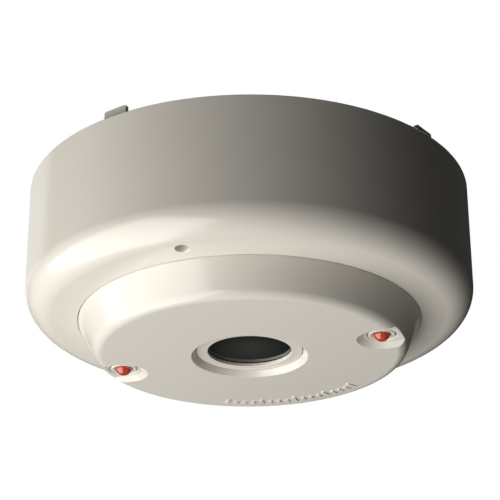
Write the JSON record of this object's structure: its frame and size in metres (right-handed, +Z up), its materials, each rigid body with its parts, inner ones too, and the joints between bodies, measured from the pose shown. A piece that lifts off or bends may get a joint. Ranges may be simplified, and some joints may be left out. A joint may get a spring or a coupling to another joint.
{
  "type": "heat detector",
  "caption": "Round ceiling heat detector head with a dark infrared window and two red indicators, twisted on to a mounting base.",
  "frame": {"origin": "centre of the ceiling plane that the mounting base is screwed to", "axes": "+Z up into the ceiling, -Y towards the viewer, the lens side hangs down along -Z"},
  "size_m": [0.1, 0.1, 0.0419],
  "materials": {
    "cover_plastic": "glossy ivory moulding",
    "base_plastic": "satin ivory moulding",
    "insert_plastic": "glossy white moulding",
    "black_plastic": "fine matt black moulding",
    "lens_plastic": "clear red, polished",
    "window_glass": "dark infrared-passing window, polished",
    "rubber": "moulded rubber",
    "board": "green solder mask on glass laminate",
    "paper": "blank label",
    "ceramic": "dipped coating",
    "steel": "zinc-plated steel",
    "brass": "rolled contact metal",
    "tin": "tinned metal"
  },
  "bodies": {
    "base": {"base_moulding": "base_plastic", "contact_strip_1": "brass", "contact_strip_2": "brass", "contact_strip_3": "brass", "contact_strip_4": "brass"},
    "terminal_1": {"terminal_clamp_1": "steel", "terminal_screw_1": "steel"},
    "terminal_2": {"terminal_clamp_2": "steel", "terminal_screw_2": "steel"},
    "terminal_3": {"terminal_clamp_3": "steel", "terminal_screw_3": "steel"},
    "terminal_4": {"terminal_clamp_4": "steel", "terminal_screw_4": "steel"},
    "dust_seal": {"dust_seal": "rubber"},
    "head": {"outer_cover": "cover_plastic", "front_cap": "cover_plastic", "window_bezel": "cover_plastic", "sensor_window": "window_glass", "window_gasket": "rubber", "sensor_holder": "black_plastic", "sensor_can": "tin", "led_insert_1": "insert_plastic", "led_insert_2": "insert_plastic", "led_lens_1": "lens_plastic", "led_lens_2": "lens_plastic", "led_1": "lens_plastic", "led_2": "lens_plastic", "main_pcb": "board", "shield_can": "tin", "microcontroller": "black_plastic", "storage_capacitor": "black_plastic", "surge_suppressor": "ceramic", "thermistor": "black_plastic", "crystal": "tin", "rear_chassis": "black_plastic", "rating_label": "paper", "chassis_screw_1": "steel", "chassis_screw_2": "steel", "chassis_screw_3": "steel", "contact_blade_1": "brass", "blade_screw_1": "steel", "contact_post_1": "brass", "contact_blade_2": "brass", "blade_screw_2": "steel", "contact_post_2": "brass", "contact_blade_3": "brass", "blade_screw_3": "steel", "contact_post_3": "brass", "contact_blade_4": "brass", "blade_screw_4": "steel", "contact_post_4": "brass", "lock_bush": "brass"},
    "lock_screw": {"lock_screw": "steel"}
  },
  "joints": [
    {"name": "head_pull_off", "type": "slide", "parent": "base", "child": "dust_seal", "axis": [0, 0, -1], "range_m": [0, 0.06]},
    {"name": "head_twist", "type": "hinge", "parent": "dust_seal", "child": "head", "pos_m": [0, 0, 0], "axis": [0, 0, 1], "range_deg": [0, 18]},
    {"name": "lock_screw_travel", "type": "slide", "parent": "head", "child": "lock_screw", "axis": [0, 0, 1], "range_m": [0, 0.0025]},
    {"name": "terminal_1_loosen", "type": "slide", "parent": "base", "child": "terminal_1", "axis": [0, 0, -1], "range_m": [0, 0.002]},
    {"name": "terminal_2_loosen", "type": "slide", "parent": "base", "child": "terminal_2", "axis": [0, 0, -1], "range_m": [0, 0.002]},
    {"name": "terminal_3_loosen", "type": "slide", "parent": "base", "child": "terminal_3", "axis": [0, 0, -1], "range_m": [0, 0.002]},
    {"name": "terminal_4_loosen", "type": "slide", "parent": "base", "child": "terminal_4", "axis": [0, 0, -1], "range_m": [0, 0.002]}
  ]
}
